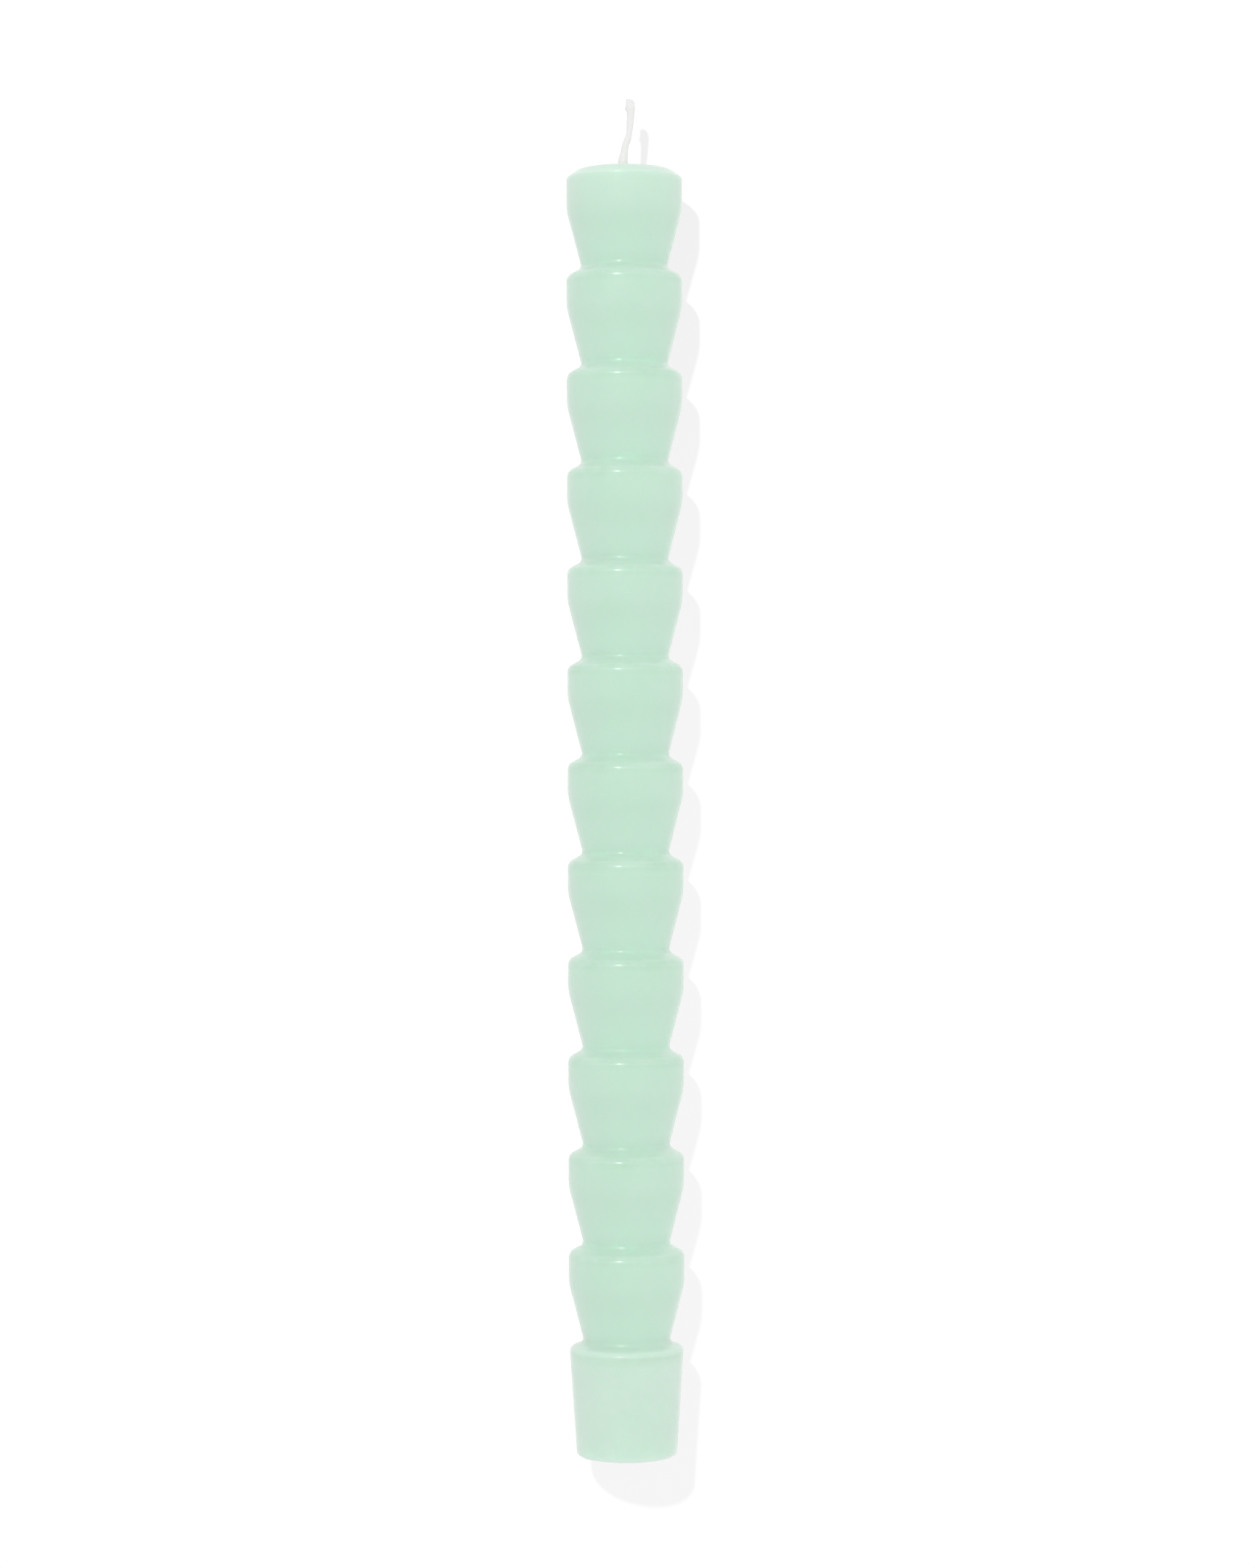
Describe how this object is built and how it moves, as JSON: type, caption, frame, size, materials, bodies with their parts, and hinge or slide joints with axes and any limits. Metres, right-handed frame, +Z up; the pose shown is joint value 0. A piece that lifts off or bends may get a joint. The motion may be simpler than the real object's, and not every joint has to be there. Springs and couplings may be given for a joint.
{
  "type": "taper candle",
  "caption": "Slim moulded wax candle of stacked flared segments on a tapered plug for a holder's socket, with a braided cotton wick through it that stands bare at the top.",
  "frame": {"origin": "centre of the base face, on the surface that the candle stands on", "axes": "+Z up the candle's axis towards the wick; the wick leans to +X and a little to +Y; +X is the right of the pictured side, and that side faces -Y"},
  "size_m": [0.0226, 0.0226, 0.2645],
  "materials": {
    "wax": "satin",
    "wick_cotton": "matte"
  },
  "bodies": {
    "root": {"wax_body": "wax", "wick": "wick_cotton"}
  },
  "joints": []
}
